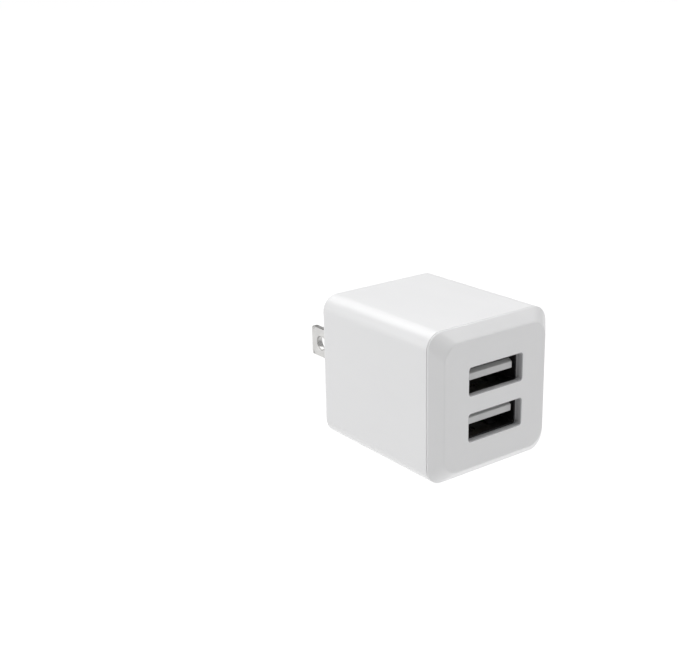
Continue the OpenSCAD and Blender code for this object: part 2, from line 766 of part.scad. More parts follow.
// Stiff card between the high-voltage side and the ports.
module insulating_card() {
    color("beige") box(-11.5, 11.5, card_y, card_y + card_t, main_z + eps, usb_board_top + 1);
}

outer_shell();
front_cap();
blade(-1);  // left_blade
blade(1);  // right_blade
blade_carrier();
contact_strip(-1);  // left_contact_strip
contact_strip(1);  // right_contact_strip
main_board();
usb_board();
board_pins();
usb_shell(socket_z[0]);  // upper_usb_shell
usb_shell(socket_z[1]);  // lower_usb_shell
usb_tongue(socket_z[0]);  // upper_usb_tongue
usb_tongue(socket_z[1]);  // lower_usb_tongue
contact_springs(socket_z[0]);  // upper_contact_springs
contact_springs(socket_z[1]);  // lower_contact_springs
contact_tails(socket_z[0]);  // upper_contact_tails
contact_tails(socket_z[1]);  // lower_contact_tails
transformer_core();
transformer_bobbin();
transformer_winding();
core_tape();
transformer_pins();
input_capacitor();
filter_capacitor();
left_output_capacitor();
right_output_capacitor();
safety_capacitor();
fuse_resistor();
choke_core();
choke_winding();
bridge_rectifier();
control_chip();
output_diode();
port_chip();
bridge_legs();
control_chip_legs();
diode_legs();
port_chip_legs();
board_resistors();
board_capacitors();
capacitor_leads();
filter_capacitor_leads();
safety_capacitor_leads();
fuse_leads();
choke_leads();
lead_sleeves();
solder_joints();
insulating_card();
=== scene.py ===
import bpy
import bmesh
import json
import math
from mathutils import Matrix, Vector


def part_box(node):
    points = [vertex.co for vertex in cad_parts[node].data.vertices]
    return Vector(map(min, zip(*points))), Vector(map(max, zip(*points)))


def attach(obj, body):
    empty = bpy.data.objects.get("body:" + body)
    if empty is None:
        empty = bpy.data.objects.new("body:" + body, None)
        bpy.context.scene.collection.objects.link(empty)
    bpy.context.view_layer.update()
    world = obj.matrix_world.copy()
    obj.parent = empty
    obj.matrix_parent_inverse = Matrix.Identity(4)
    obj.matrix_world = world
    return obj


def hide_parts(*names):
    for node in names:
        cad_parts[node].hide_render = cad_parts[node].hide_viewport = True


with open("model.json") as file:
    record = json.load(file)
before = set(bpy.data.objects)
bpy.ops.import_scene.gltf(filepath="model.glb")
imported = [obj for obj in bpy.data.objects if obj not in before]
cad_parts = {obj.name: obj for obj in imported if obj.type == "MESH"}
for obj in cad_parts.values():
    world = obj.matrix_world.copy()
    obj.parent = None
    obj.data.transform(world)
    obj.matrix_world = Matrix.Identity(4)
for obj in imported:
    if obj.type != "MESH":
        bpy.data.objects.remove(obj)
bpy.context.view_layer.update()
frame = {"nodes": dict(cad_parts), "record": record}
scene = bpy.context.scene
scene.view_settings.view_transform = "Standard"
print("frame loaded:", len(frame["nodes"]), "nodes")

metre = 0.001  # lengths in the tables are millimetres, and a piece is scaled to metres when it is finished
sliver = 0.001  # rings that would share a plane are set this far apart, so that they bridge in order

cameraSet = {
    "place": (-137.60, -176.22, 78.30),
    "tilt": 71.52,
    "turn": -35.76,
    "roll": -1.45,
    "lens": 59.07,
    "sensor": 36,
    "near": 0.005,  # metres
    "far": 60,
}
cameraData = bpy.data.cameras.new("bench camera")
cameraData.sensor_fit = "HORIZONTAL"
cameraData.sensor_width = cameraSet["sensor"]
cameraData.lens = cameraSet["lens"]
cameraData.clip_start = cameraSet["near"]
cameraData.clip_end = cameraSet["far"]
benchCamera = bpy.data.objects.new("bench camera", cameraData)
scene.collection.objects.link(benchCamera)
turned = Matrix.Rotation(math.radians(cameraSet["turn"]), 4, "Z")
tilted = Matrix.Rotation(math.radians(cameraSet["tilt"]), 4, "X")
rolled = Matrix.Rotation(math.radians(cameraSet["roll"]), 4, "Z")
benchCamera.matrix_world = Matrix.Translation(Vector(cameraSet["place"]) * metre) @ turned @ tilted @ rolled
scene.camera = benchCamera


# short ways to add the nodes that the finishes share
def link(tree, out, into):
    tree.links.new(out, into)


def newFinish(name, fixed):
    finish = bpy.data.materials.new(name)
    finish.use_nodes = True
    tree = finish.node_tree
    shader = tree.nodes["Principled BSDF"]
    for socket, value in fixed.items():
        shader.inputs[socket].default_value = value
    coord = tree.nodes.new("ShaderNodeTexCoord")
    return finish, tree, shader, coord.outputs["Object"]


def stretched(tree, coord, stretch, turn=(0, 0, 0)):
    mapping = tree.nodes.new("ShaderNodeMapping")
    mapping.inputs["Scale"].default_value = stretch
    mapping.inputs["Rotation"].default_value = turn
    link(tree, coord, mapping.inputs["Vector"])
    return mapping.outputs["Vector"]


def noise(tree, coord, scale, detail=3.0, rough=0.55, distort=0.0):
    node = tree.nodes.new("ShaderNodeTexNoise")
    node.inputs["Scale"].default_value = scale
    node.inputs["Detail"].default_value = detail
    node.inputs["Roughness"].default_value = rough
    node.inputs["Distortion"].default_value = distort
    link(tree, coord, node.inputs["Vector"])
    return node.outputs["Fac"]


def ramp(tree, value, stops, kind="LINEAR"):
    node = tree.nodes.new("ShaderNodeValToRGB")
    node.color_ramp.interpolation = kind
    while len(node.color_ramp.elements) < len(stops):
        node.color_ramp.elements.new(0.5)
    for element, (place, colour) in zip(node.color_ramp.elements, stops):
        element.position = place
        element.color = (*colour, 1)
    link(tree, value, node.inputs["Fac"])
    return node.outputs["Color"]


# a value between fromLow and fromHigh, spread over low to high; a noise mostly lies between 0.3 and 0.7
def spread(tree, value, low, high, fromLow=0.3, fromHigh=0.7):
    node = tree.nodes.new("ShaderNodeMapRange")
    node.inputs["From Min"].default_value = fromLow
    node.inputs["From Max"].default_value = fromHigh
    node.inputs["To Min"].default_value = low
    node.inputs["To Max"].default_value = high
    link(tree, value, node.inputs["Value"])
    return node.outputs["Result"]


def sums(tree, kind, a, b):
    node = tree.nodes.new("ShaderNodeMath")
    node.operation = kind
    for socket, value in zip(node.inputs, (a, b)):
        if isinstance(value, (int, float)):
            socket.default_value = value
        else:
            link(tree, value, socket)
    return node.outputs["Value"]


# two patterns added, the first by its share and the second by the rest
def mixed(tree, first, second, share):
    part = sums(tree, "MULTIPLY", first, share)
    rest = sums(tree, "MULTIPLY", second, round(1 - share, 2))
    return sums(tree, "ADD", part, rest)


def blended(tree, share, first, second):
    node = tree.nodes.new("ShaderNodeMix")
    node.data_type = "RGBA"
    link(tree, share, node.inputs["Factor"])
    for socket, value in ((node.inputs["A"], first), (node.inputs["B"], second)):
        if isinstance(value, tuple):
            socket.default_value = (*value, 1)
        else:
            link(tree, value, socket)
    return node.outputs["Result"]


def bumped(tree, shader, height, strength, depth, under=None):
    node = tree.nodes.new("ShaderNodeBump")
    node.inputs["Strength"].default_value = strength
    node.inputs["Distance"].default_value = depth * metre
    link(tree, height, node.inputs["Height"])
    if under is not None:
        link(tree, under, node.inputs["Normal"])
    link(tree, node.outputs["Normal"], shader.inputs["Normal"])
    return node.outputs["Normal"]


finishes = {}


# moulded plastic: faint flow marks in the colour, a fine skin and a few handling scuffs
def mouldedPlastic(name, colour, shade, gloss, grain, skin, scuffs=0.05):
    finish, tree, shader, coord = newFinish(name, {"IOR": 1.46})
    flow = noise(tree, stretched(tree, coord, (1, 0.35, 1)), 160, 4)
    link(tree, ramp(tree, flow, ((0.3, shade), (0.7, colour))), shader.inputs["Base Color"])
    fine = noise(tree, coord, grain, 2)
    rub = noise(tree, stretched(tree, coord, (0.3, 1, 3)), 420, 2)
    low, high = gloss
    scuffed = spread(tree, rub, 0, scuffs, 0.35, 0.75)
    link(tree, sums(tree, "ADD", spread(tree, flow, low, high), scuffed), shader.inputs["Roughness"])
    under = bumped(tree, shader, flow, 0.05, 0.01)
    bumped(tree, shader, fine, 0.25, skin, under)
    return finish


# colour, shade, roughness range, grain scale, skin depth in mm, and scuffs where they aren't the usual
plastics = {
    "white_shell": ("glossy white shell", (0.77, 0.77, 0.775), (0.758, 0.758, 0.763), (0.285, 0.31),
                    5200, 0.003, 0.012),
    "white_cap": ("satin white cap", (0.765, 0.765, 0.77), (0.752, 0.752, 0.757), (0.32, 0.35),
                  5200, 0.003, 0.012),
    "panel": ("spark textured panel", (0.70, 0.70, 0.71), (0.64, 0.64, 0.65), (0.50, 0.62), 2300, 0.06, 0.02),
    # the port mouth is the cap's white plastic; its darker grey is painted shade for the recessed opening
    # walls and the socket collars
    "mouth": ("matte port mouth", (0.46, 0.46, 0.47), (0.42, 0.42, 0.43), (0.45, 0.58), 3600, 0.02, 0.02),
    "carrier_plastic": ("natural carrier plastic", (0.72, 0.71, 0.66), (0.64, 0.63, 0.58), (0.42, 0.55),
                        3600, 0.02),
    "bobbin_plastic": ("black bobbin plastic", (0.022, 0.023, 0.025), (0.012, 0.013, 0.014), (0.38, 0.52),
                       3600, 0.02),
    "wire_sleeve": ("black wire sleeve", (0.02, 0.02, 0.022), (0.01, 0.01, 0.011), (0.42, 0.55), 3000, 0.03),
    "tongue_plastic": ("light grey port plastic", (0.66, 0.66, 0.66), (0.58, 0.58, 0.58), (0.36, 0.48),
                       4200, 0.012),
}
for slot, recipe in plastics.items():
    finishes[slot] = mouldedPlastic(*recipe)


# metal: drawn lines along one direction, patches of haze, and a duller shade in them
def drawnMetal(name, colour, shade, gloss, stretch, lines=2600, cut=0.006):
    finish, tree, shader, coord = newFinish(name, {"Metallic": 1.0})
    haze = noise(tree, coord, 420, 4, 0.6)
    streak = noise(tree, stretched(tree, coord, stretch), lines, 3, 0.7)
    tint = mixed(tree, haze, streak, 0.65)
    link(tree, ramp(tree, tint, ((0.34, shade), (0.62, colour))), shader.inputs["Base Color"])
    low, high = gloss
    link(tree, spread(tree, tint, high, low, 0.35, 0.65), shader.inputs["Roughness"])
    bumped(tree, shader, streak, 0.4, cut)
    return finish


# colour, shade, roughness range and the stretch that lays the lines along a piece
metals = {
    "blade_metal": ("nickel plated blade", (0.64, 0.635, 0.625), (0.57, 0.565, 0.555), (0.30, 0.42),
                    (6, 0.25, 6)),
    # the port steel's dark colour is partly a dark plating and partly painted shade for the deep inside of
    # the ports
    "port_steel": ("dark plated port steel", (0.12, 0.12, 0.125), (0.06, 0.06, 0.065), (0.30, 0.48),
                   (4, 0.3, 4)),
    "contact_gold": ("gold plated contact", (0.90, 0.66, 0.27), (0.74, 0.50, 0.17), (0.20, 0.36),
                     (3, 0.3, 3)),
    "spring_brass": ("spring brass", (0.76, 0.57, 0.26), (0.50, 0.35, 0.14), (0.26, 0.48), (3, 3, 0.25)),
    "tinned_wire": ("tinned wire", (0.70, 0.70, 0.71), (0.48, 0.48, 0.49), (0.26, 0.50), (3, 3, 0.3)),
    "solder": ("solder", (0.76, 0.77, 0.79), (0.52, 0.53, 0.55), (0.14, 0.36), (1, 1, 1), 1500, 0.01),
}
for slot, recipe in metals.items():
    finishes[slot] = drawnMetal(*recipe)


# circuit board: green mask over copper, with the weave of the board showing through
def boardFinish(name):
    finish, tree, shader, coord = newFinish(name, {"IOR": 1.5})
    weave = tree.nodes.new("ShaderNodeTexBrick")
    weave.inputs["Scale"].default_value = 900
    weave.inputs["Mortar Size"].default_value = 0.06
    link(tree, coord, weave.inputs["Vector"])
    tracks = tree.nodes.new("ShaderNodeTexVoronoi")
    tracks.distance = "MANHATTAN"
    tracks.feature = "F1"
    tracks.inputs["Scale"].default_value = 330
    link(tree, coord, tracks.inputs["Vector"])
    copper = spread(tree, tracks.outputs["Distance"], 0, 1, 0.42, 0.47)
    mask = ramp(tree, noise(tree, coord, 260, 3), ((0.3, (0.008, 0.085, 0.03)), (0.7, (0.014, 0.12, 0.045))))
    link(tree, blended(tree, copper, mask, (0.03, 0.20, 0.07)), shader.inputs["Base Color"])
    link(tree, spread(tree, noise(tree, coord, 1400, 4), 0.24, 0.42), shader.inputs["Roughness"])
    under = bumped(tree, shader, weave.outputs["Fac"], 0.2, 0.01)
    bumped(tree, shader, copper, 0.4, 0.03, under)
    return finish


finishes["board_green"] = boardFinish("green circuit board")


# pressed and fired powders: ferrite and ceramic, with speckle and small pits
def firedFinish(name, colour, speckle, gloss, size=2600, pits=0.03):
    finish, tree, shader, coord = newFinish(name, {"IOR": 1.6})
    grains = tree.nodes.new("ShaderNodeTexVoronoi")
    grains.inputs["Scale"].default_value = size
    link(tree, coord, grains.inputs["Vector"])
    cloud = noise(tree, coord, 500, 5, 0.65)
    tone = mixed(tree, grains.outputs["Distance"], cloud, 0.5)
    link(tree, ramp(tree, tone, ((0.3, colour), (0.62, speckle))), shader.inputs["Base Color"])
    low, high = gloss
    link(tree, spread(tree, cloud, low, high), shader.inputs["Roughness"])
    bumped(tree, shader, tone, 0.5, pits)
    return finish


# colour, speckle, roughness range, and the scale and pit depth where they aren't the usual
powders = {
    "ferrite": ("ground ferrite", (0.028, 0.028, 0.030), (0.060, 0.060, 0.064), (0.34, 0.55)),
    "chip_ceramic": ("dark resistor", (0.012, 0.012, 0.014), (0.035, 0.035, 0.04), (0.2, 0.4), 5200),
    "tan_ceramic": ("tan capacitor", (0.30, 0.19, 0.10), (0.42, 0.29, 0.17), (0.3, 0.5), 5200),
    "chip_black": ("moulded chip", (0.010, 0.010, 0.011), (0.028, 0.028, 0.030), (0.5, 0.66), 7000, 0.01),
    "blue_epoxy": ("dipped blue coating", (0.010, 0.05, 0.28), (0.02, 0.10, 0.42), (0.16, 0.3), 700, 0.06),
}
for slot, recipe in powders.items():
    finishes[slot] = firedFinish(*recipe)


# turns of wire or tape that lie across one direction, at a pitch in mm
def woundFinish(name, colour, shade, pitch, axis, gloss, metallic, depth):
    finish, tree, shader, coord = newFinish(name, {"Metallic": metallic})
    turns = tree.nodes.new("ShaderNodeTexWave")
    turns.bands_direction = axis
    # at a scale of 1 the wave repeats every 2 pi / 20
    turns.inputs["Scale"].default_value = 2 * math.pi / (20 * pitch * metre)
    turns.inputs["Distortion"].default_value = 0.6
    turns.inputs["Detail"].default_value = 1.0
    link(tree, coord, turns.inputs["Vector"])
    stain = noise(tree, coord, 380, 4)
    tone = mixed(tree, turns.outputs["Fac"], stain, 0.55)
    link(tree, ramp(tree, tone, ((0.2, shade), (0.75, colour))), shader.inputs["Base Color"])
    low, high = gloss
    link(tree, spread(tree, stain, low, high), shader.inputs["Roughness"])
    bumped(tree, shader, turns.outputs["Fac"], 0.6, depth)
    return finish


# colour, shade, pitch, direction, roughness range, how metallic it is, and depth
windings = {
    "winding_tape": ("taped winding", (0.78, 0.52, 0.05), (0.50, 0.30, 0.02), 0.5, "Z",
                     (0.28, 0.42), 0.0, 0.05),
    "copper_wire": ("enamelled copper", (0.66, 0.24, 0.09), (0.32, 0.09, 0.03), 0.22, "Z",
                    (0.2, 0.36), 0.85, 0.06),
    "clear_tape": ("amber film tape", (0.68, 0.42, 0.10), (0.52, 0.30, 0.06), 1.6, "X",
                   (0.12, 0.26), 0.0, 0.03),
}
for slot, recipe in windings.items():
    finishes[slot] = woundFinish(*recipe)


# stiff insulating card: long fibres and a soft, uneven tooth
def cardFinish(name, colour, shade):
    finish, tree, shader, coord = newFinish(name, {"IOR": 1.4})
    fibre = noise(tree, stretched(tree, coord, (1, 1, 7)), 1100, 6, 0.75, 0.6)
    cloud = noise(tree, coord, 220, 4)
    tone = mixed(tree, fibre, cloud, 0.6)
    link(tree, ramp(tree, tone, ((0.32, shade), (0.66, colour))), shader.inputs["Base Color"])
    link(tree, spread(tree, fibre, 0.62, 0.86), shader.inputs["Roughness"])
    bumped(tree, shader, fibre, 0.5, 0.03)
    return finish


finishes["card_paper"] = cardFinish("insulating card", (0.78, 0.74, 0.62), (0.60, 0.55, 0.42))

# a capacitor's stripe and bare top; crimp and rim are how far the top reaches down and in, in metres
canSet = {
    "stripe": (0.42, 0.43, 0.45), "stripeFrom": 0.88, "top": (0.68, 0.68, 0.69),
    "crimp": 0.0005, "rim": 0.001, "edge": 0.0001,
}


# capacitor: printed sleeve with a plain pale stripe down one side, and a bare aluminium top
def capacitorFinish(name, colour, middle, axis, radius, topAt):
    finish, tree, shader, coord = newFinish(name, {"IOR": 1.5})
    turn = (0, 0, 0) if axis == "Z" else (0, -math.pi / 2, 0)
    local = stretched(tree, coord, (1, 1, 1), turn)
    parts = tree.nodes.new("ShaderNodeSeparateXYZ")
    link(tree, local, parts.inputs["Vector"])
    across = sums(tree, "SUBTRACT", parts.outputs["X"], middle[0])
    deep = sums(tree, "SUBTRACT", parts.outputs["Y"], middle[1])
    squares = [sums(tree, "MULTIPLY", side, side) for side in (across, deep)]
    reach = sums(tree, "SQRT", sums(tree, "ADD", *squares), 0.0)
    crimp, rim = topAt - canSet["crimp"], radius - canSet["rim"]
    high = spread(tree, parts.outputs["Z"], 0, 1, crimp, crimp + canSet["edge"])
    inTop = sums(tree, "MULTIPLY", high, spread(tree, reach, 1, 0, rim, rim + canSet["edge"]))
    stripeFrom = canSet["stripeFrom"]
    inStripe = spread(tree, across, 0, 1, radius * stripeFrom, radius * (stripeFrom + 0.02))
    cloud = noise(tree, coord, 320, 4)
    sleeve = ramp(tree, cloud, ((0.3, tuple(c * 0.8 for c in colour)), (0.7, colour)))
    striped = blended(tree, inStripe, sleeve, canSet["stripe"])
    link(tree, blended(tree, inTop, striped, canSet["top"]), shader.inputs["Base Color"])
    link(tree, inTop, shader.inputs["Metallic"])
    link(tree, spread(tree, noise(tree, coord, 1500, 4), 0.22, 0.38), shader.inputs["Roughness"])
    bumped(tree, shader, cloud, 0.3, 0.05)
    return finish


# sleeve colour, and the direction that each can lies along
capacitors = {
    "input_capacitor": ("dark sleeve tall", (0.010, 0.014, 0.045), "Z"),
    "left_output_capacitor": ("green sleeve left", (0.012, 0.070, 0.030), "Z"),
    "right_output_capacitor": ("green sleeve right", (0.012, 0.070, 0.030), "Z"),
    "filter_capacitor": ("dark sleeve lying", (0.010, 0.014, 0.045), "X"),
}
for node, (name, colour, axis) in capacitors.items():
    low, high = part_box(node)
    middle = (low + high) / 2
    across = (-middle.z if axis == "X" else middle.x, middle.y)
    topAt = high.x if axis == "X" else high.z
    finishes[node] = capacitorFinish(name, colour, across, axis, (high.y - low.y) / 2, topAt)

# the fuse's colours, and where along its length each band starts
fuse = {
    "long": 6.2, "body": (0.06, 0.17, 0.09), "brown": (0.10, 0.04, 0.02), "red": (0.30, 0.02, 0.015),
    "gold": (0.42, 0.28, 0.06),
    "bands": ((0.0, "body"), (0.16, "brown"), (0.24, "body"), (0.36, "gold"), (0.44, "body"), (0.54, "red"),
              (0.62, "body"), (0.76, "gold"), (0.84, "body")),
}


# fuse: coated body with plain coloured bands round it
def bandedFinish(name):
    finish, tree, shader, coord = newFinish(name, {"IOR": 1.5})
    parts = tree.nodes.new("ShaderNodeSeparateXYZ")
    link(tree, coord, parts.inputs["Vector"])
    end = fuse["long"] / 2 * metre
    along = spread(tree, parts.outputs["X"], 0, 1, -end, end)
    cloud = noise(tree, coord, 700, 4)
    bands = [(start, fuse[colour]) for start, colour in fuse["bands"]]
    link(tree, ramp(tree, along, bands, "CONSTANT"), shader.inputs["Base Color"])
    link(tree, spread(tree, cloud, 0.3, 0.5), shader.inputs["Roughness"])
    bumped(tree, shader, cloud, 0.4, 0.04)
    return finish


finishes["fuse_resistor"] = bandedFinish("banded fuse")
print("finishes mixed:", len(finishes))


# one loop of edges round a rectangle with rounded corners, standing across Y
def newRing(bm, width, height, radius, y, x=0.0, z=0.0, steps=8):
    known = set(bm.edges)
    corners = bmesh.ops.create_grid(bm, x_segments=1, y_segments=1, size=0.5)["verts"]
    bmesh.ops.scale(bm, vec=(width, height, 1), verts=corners)
    bmesh.ops.rotate(bm, matrix=Matrix.Rotation(math.pi / 2, 3, "X"), verts=corners)
    bmesh.ops.translate(bm, vec=(x, y, z), verts=corners)
    bmesh.ops.bevel(bm, geom=corners, offset=radius, segments=steps, profile=0.5, affect="VERTICES",
                    material=-1)
    edges = [e for e in bm.edges if e not in known]
    bmesh.ops.delete(bm, geom=list({f for e in edges for f in e.link_faces}), context="FACES_ONLY")
    return edges


def bridgeRings(bm, rings):
    for first, second in zip(rings, rings[1:]):
        bmesh.ops.bridge_loops(bm, edges=first + second)


# rounded rings joined one to the next; each ring is (width, height, corner radius, y)
def ringTube(bm, rings, x=0.0, z=0.0, steps=8):
    made = [newRing(bm, w, h, r, y, x, z, steps) for w, h, r, y in rings]
    bridgeRings(bm, made)
    return made


def square(across, corner, y):
    return (across, across, corner, y)


# rings that round an edge over from the side (start) to the end face
def roundedEdge(width, height, radius, y, amount, toward, steps=4, outward=True):
    sign = 1 if outward else -1
    rings = []
    for i in range(steps + 1):
        a = math.pi / 2 * i / steps
        inset = amount * (1 - math.cos(a)) * sign
        rings.append((width - 2 * inset, height - 2 * inset, max(radius - inset, 0.05),
                      y - toward * amount * (1 - math.sin(a))))
    return rings


# rings along a soft curve that leaves one ring, leans on the next and arrives at the last
def easedRings(before, at, after, steps=5):
    rings = []
    for i in range(steps + 1):
        t = i / steps
        shares = ((1 - t) ** 2, 2 * t * (1 - t), t * t)
        trios = zip(before, at, after)
        rings.append(tuple(sum(share * v for share, v in zip(shares, trio)) for trio in trios))
    return rings


def fillBetween(bm, loops):
    edges = [e for loop in loops for e in loop]
    bmesh.ops.triangle_fill(bm, use_beauty=True, use_dissolve=False, edges=edges)


def newBlock(bm, low, high, soften, steps=2):
    made = bmesh.ops.create_cube(bm, size=1.0)["verts"]
    size = [b - a for a, b in zip(low, high)]
    bmesh.ops.scale(bm, vec=size, verts=made)
    bmesh.ops.translate(bm, vec=[(a + b) / 2 for a, b in zip(low, high)], verts=made)
    edges = list({e for v in made for e in v.link_edges})
    bmesh.ops.bevel(bm, geom=edges, offset=soften, segments=steps, profile=0.5, affect="EDGES", material=-1)


# gives the faces made since then the piece's second finish
def coatNew(bm, before):
    for face in set(bm.faces) - before:
        face.material_index = 1


def everything(bm):
    return bm.verts[:] + bm.edges[:] + bm.faces[:]


# thickens the one face in the mesh
def pulled(bm, by):
    made = bmesh.ops.extrude_face_region(bm, geom=bm.faces[:])["geom"]
    bmesh.ops.translate(bm, vec=by, verts=[g for g in made if isinstance(g, bmesh.types.BMVert)])


finishSet = {"merge": 0.0008, "sharp": 35}  # doubles in mm, and the angle in degrees that stays a sharp edge


def finishPiece(bm, name, node, coats):
    bmesh.ops.remove_doubles(bm, verts=bm.verts, dist=finishSet["merge"])
    bmesh.ops.recalc_face_normals(bm, faces=bm.faces)
    bmesh.ops.scale(bm, vec=(metre, metre, metre), verts=bm.verts)
    mesh = bpy.data.meshes.new(name)
    bm.to_mesh(mesh)
    bm.free()
    mesh.shade_smooth()
    mesh.set_sharp_from_angle(angle=math.radians(finishSet["sharp"]))
    for coat in coats:
        mesh.materials.append(finishes[coat])
    piece = bpy.data.objects.new(name, mesh)
    scene.collection.objects.link(piece)
    even = piece.modifiers.new("even normals", "WEIGHTED_NORMAL")
    even.keep_sharp = True
    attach(piece, "charger_body")
    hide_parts(node)
    print("made", name, len(mesh.polygons), "faces")


shell = {
    "across": 30.0, "corner": 3.4, "front": -32.5, "wall": 1.6, "endWall": 2.35, "endRound": 0.9,
    "mouthLong": 0.15, "mouthWider": 0.3,  # the lead-in for the cap's skirt
    "seamBack": -32.42, "seamDeep": 0.45, "seamRound": 0.1,
    "rim": 2.2, "rimSoft": 0.12, "recess": 0.35, "recessCorner": 2.2, "recessSoft": 0.1,
    "slotX": 6.35, "slotWidth": 1.62, "slotHeight": 6.47, "slotCorner": 0.1, "slotSoft": 0.06,
    "ribX": 6.4, "ribWide": 0.6, "ribFront": -28.3, "ribSunk": 0.1, "ribSoft": 0.1, "boardUnder": -11.9,
    "stakeZ": 3.6, "stakeRadius": 1.0, "stakeSunk": 0.2, "carrierFace": -5.45, "stakeHead": 1.5,
    "headShape": ((1, 0), (1, 0.3), (0.85, 0.5), (0.5, 0.6)),  # share of the head, distance off the carrier
}


# the sleeve as one run of rings: up the inside, over the seam, along the outside and into the recess
def shellRings():
    s = shell
    inner, innerCorner = s["across"] - 2 * s["wall"], s["corner"] - s["wall"]
    wider = s["mouthWider"]
    rings = [square(inner, innerCorner, -s["endWall"]),
             square(inner, innerCorner, s["front"] + s["mouthLong"]),
             square(inner + wider, innerCorner + wider / 2, s["front"] + 3 * sliver)]
    land, landCorner = s["across"] - 2 * s["seamDeep"], s["corner"] - s["seamDeep"]
    rings += [square(land, landCorner, s["front"]), square(land, landCorner, s["seamBack"] - sliver)]
    rings += reversed(roundedEdge(*square(s["across"], s["corner"], s["seamBack"]), s["seamRound"], -1, 3))
    rings += roundedEdge(*square(s["across"], s["corner"], 0.0), s["endRound"], 1, 8)
    panel = s["across"] - 2 * s["rim"]
    rim = square(panel, s["recessCorner"], -sliver)
    rings += reversed(roundedEdge(*rim, s["rimSoft"], 1, 3, outward=False))
    soft = s["recessSoft"]
    for inset, up in ((0, soft), (0.3 * soft, 0.3 * soft), (soft, 0)):
        rings.append(square(panel - 2 * inset, s["recessCorner"] - inset, -s["recess"] + up))
    return rings


# a board rib and a melted stake on one side of the wall end
def addFixings(bm, side):
    s = shell
    inner = s["across"] - 2 * s["wall"]
    x, half, sunk = side * s["ribX"], s["ribWide"] / 2, s["ribSunk"]
    low = (x - half, s["ribFront"], -inner / 2 - sunk)
    newBlock(bm, low, (x + half, -s["endWall"] + sunk, s["boardUnder"]), s["ribSoft"])
    face = s["carrierFace"]
    steps = [(s["stakeRadius"], -s["endWall"] + s["stakeSunk"]), (s["stakeRadius"], face + sliver)]
    steps += [(s["stakeHead"] * share, face - out) for share, out in s["headShape"]]
    stake = ringTube(bm, [square(2 * r, r - sliver, y) for r, y in steps], 0.0, side * s["stakeZ"], 6)
    for end in (stake[0], stake[-1]):
        bmesh.ops.edgeloop_fill(bm, edges=end)


def makeShell():
    s = shell
    bm = bmesh.new()
    tube = ringTube(bm, shellRings())
    wide, tall, corner, soft = s["slotWidth"], s["slotHeight"], s["slotCorner"], s["slotSoft"]
    slotRings = [(wide + 2 * soft, tall + 2 * soft, corner + soft, -s["recess"]),
                 (wide, tall, corner, -s["recess"] - soft), (wide, tall, corner, -s["endWall"])]
    slots = [ringTube(bm, slotRings, side * s["slotX"], 0.0, 3) for side in (-1, 1)]
    before = set(bm.faces)
    fillBetween(bm, [tube[-1]] + [slot[0] for slot in slots])
    coatNew(bm, before)
    fillBetween(bm, [tube[0]] + [slot[-1] for slot in slots])
    for side in (-1, 1):
        addFixings(bm, side)
    return bm


# plain raised dashes where a rating plate would be, and a small ring between the blades
panelMarks = {
    # height of each row, and the lengths of its dashes
    "rows": ((10.6, (2.1, 3.6, 1.2, 2.8, 1.7, 2.4)), (9.5, (3.2, 1.4, 2.6, 4.1, 1.6)),
             (8.4, (1.5, 2.9, 3.4, 1.2, 3.8)), (7.3, (3.9, 1.8, 2.2, 1.4, 3.0)), (6.2, (1.2, 2.4, 1.9, 3.3)),
             (-6.2, (2.8, 1.3, 3.7, 1.6)), (-7.3, (1.7, 3.1, 1.2, 2.5, 2.9)),
             (-8.4, (3.6, 2.2, 1.5, 3.4, 1.1)), (-9.5, (1.4, 2.7, 3.9, 1.8, 2.3)),
             (-10.6, (2.6, 1.2, 3.3, 2.0, 1.5, 1.9))),
    "space": 0.7, "tall": 0.36, "proud": 0.06, "sunk": 0.05, "soft": 0.04,
    "ringAcross": 2.6, "ringTall": 1.7, "ringWide": 0.24, "ringSoft": 0.03,
}


def addDashes(bm, low, top):
    m = panelMarks
    for z, dashes in m["rows"]:
        x = -(sum(dashes) + m["space"] * (len(dashes) - 1)) / 2
        for dash in dashes:
            newBlock(bm, (x, low, z - m["tall"] / 2), (x + dash, top, z + m["tall"] / 2), m["soft"], 1)
            x += dash + m["space"]


def addRing(bm, low, top):
    m = panelMarks
    wide, tall, soft = m["ringAcross"], m["ringTall"], m["ringSoft"]
    outer, inner = 0.0, m["ringWide"]
    # how far inside the ring's outline each ring of edges lies, and its height
    steps = ((outer, low), (outer, top - soft), (outer + soft, top), (inner - soft, top - sliver),
             (inner, top - soft), (inner, low - 0.02))
    rings = [(wide - 2 * inset, tall - 2 * inset, tall / 2 - 0.01 - inset, y) for inset, y in steps]
    made = ringTube(bm, rings)
    bmesh.ops.bridge_loops(bm, edges=made[-1] + made[0])


def addPanelMarks(bm):
    before = set(bm.faces)
    low, top = -shell["recess"] - panelMarks["sunk"], -shell["recess"] + panelMarks["proud"]
    addDashes(bm, low, top)
    addRing(bm, low, top)
    coatNew(bm, before)


shellMesh = makeShell()
addPanelMarks(shellMesh)
finishPiece(shellMesh, "outerShell", "outer_shell", ["white_shell", "panel"])

